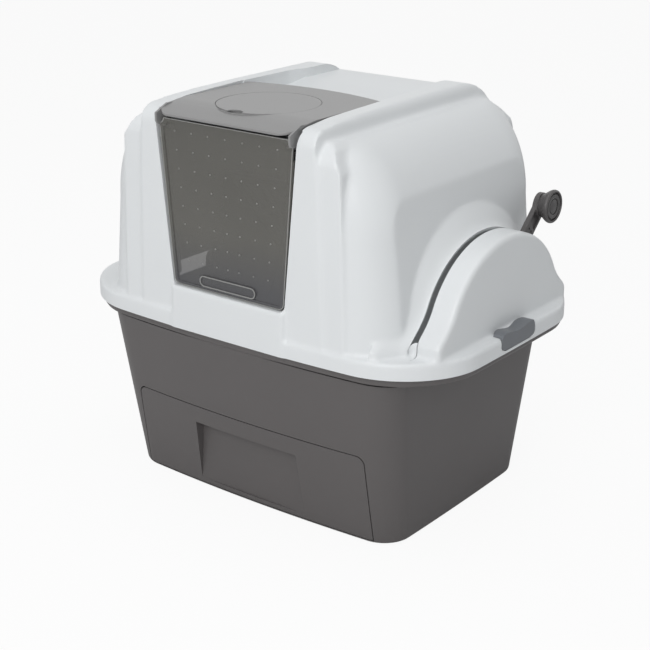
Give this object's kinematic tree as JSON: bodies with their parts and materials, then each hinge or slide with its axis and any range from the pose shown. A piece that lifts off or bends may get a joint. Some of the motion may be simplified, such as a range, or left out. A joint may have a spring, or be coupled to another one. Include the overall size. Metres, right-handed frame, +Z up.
{
  "type": "sifting cat litter box",
  "caption": "Hooded front-entry cat litter box with a lever-driven sifting drum, swing door, filter lid, side latches and a pull-out waste drawer.",
  "frame": {"origin": "centre of the tub's footprint on the floor", "axes": "+Z up; the door and drawer face -Y; the lever is on the +X side"},
  "size_m": [0.683, 0.4787, 0.611],
  "materials": {
    "tub": "warm dark grey moulded plastic, fine satin",
    "hood": "near-white moulded plastic, satin",
    "lid": "mid grey moulded plastic, satin",
    "trim_dark": "dark grey moulded plastic",
    "latch": "blue grey moulded plastic, satin",
    "door": "smoked clear plastic",
    "bush": "black bearing plastic",
    "steel": "plain steel",
    "filter": "black charcoal felt"
  },
  "bodies": {
    "base": {"base_tub": "tub", "stand_left": "tub", "stand_right": "tub", "drum_bush_left": "bush", "drum_bush_right": "bush", "stand_screws": "steel"},
    "drawer": {"waste_drawer": "tub", "bag_ring": "trim_dark"},
    "drum": {"litter_pan": "tub", "reservoir_cover": "tub", "sifting_grate": "trim_dark", "trunnion_left": "trim_dark", "trunnion_right": "trim_dark", "drum_gear": "trim_dark", "trunnion_screws": "steel"},
    "hood": {"hood_shell": "hood", "lever_housing": "hood", "hinge_cheek_left": "hood", "hinge_cheek_right": "hood", "lever_bracket": "trim_dark", "lever_bush": "bush", "lever_boss": "trim_dark", "bracket_screws": "steel", "latch_pin_left": "steel", "latch_pin_right": "steel"},
    "lever": {"lever_shaft": "steel", "lever_gear": "trim_dark", "lever_arm": "tub", "lever_handle": "tub", "lever_studs": "trim_dark", "knob_pin": "steel"},
    "knob": {"knob": "trim_dark", "knob_cap": "lid"},
    "lid": {"top_lid": "lid", "lid_pins": "steel", "carbon_filter": "filter"},
    "cover": {"filter_cover": "lid"},
    "door": {"swing_door": "door", "door_pin_left": "steel", "door_pin_right": "steel"},
    "latch_left": {"latch_left": "latch"},
    "latch_right": {"latch_right": "latch"}
  },
  "joints": [
    {"name": "drawer_slide", "type": "slide", "parent": "base", "child": "drawer", "axis": [0, -1, 0], "range_m": [0, 0.28]},
    {"name": "drum_turn", "type": "hinge", "parent": "base", "child": "drum", "pos_m": [0, 0, 0.3], "axis": [1, 0, 0], "range_deg": [-145, 0]},
    {"name": "hood_lift", "type": "slide", "parent": "base", "child": "hood", "axis": [0, 0, 1], "range_m": [0, 0.1]},
    {"name": "lever_swing", "type": "hinge", "parent": "hood", "child": "lever", "pos_m": [0.25, 0, 0.35], "axis": [1, 0, 0], "range_deg": [0, 145]},
    {"name": "knob_spin", "type": "hinge", "parent": "lever", "child": "knob", "pos_m": [0.2938, 0.15406, 0.444], "axis": [1, 0, 0], "continuous": true},
    {"name": "door_swing", "type": "hinge", "parent": "hood", "child": "door", "pos_m": [0, -0.222, 0.576], "axis": [1, 0, 0], "range_deg": [-70, 65]},
    {"name": "lid_tilt", "type": "hinge", "parent": "hood", "child": "lid", "pos_m": [0, -0.218, 0.59], "axis": [1, 0, 0], "range_deg": [0, 50]},
    {"name": "cover_lift", "type": "slide", "parent": "lid", "child": "cover", "axis": [0, 0, 1], "range_m": [0, 0.04]},
    {"name": "latch_left_flip", "type": "hinge", "parent": "hood", "child": "latch_left", "pos_m": [-0.3398, 0, 0.2857], "axis": [0, -1, 0], "range_deg": [0, 75]},
    {"name": "latch_right_flip", "type": "hinge", "parent": "hood", "child": "latch_right", "pos_m": [0.3398, 0, 0.2857], "axis": [0, 1, 0], "range_deg": [0, 75]}
  ],
  "couplings": [
    {"joint": "lever_swing", "follows": "drum_turn", "ratio": -1}
  ]
}
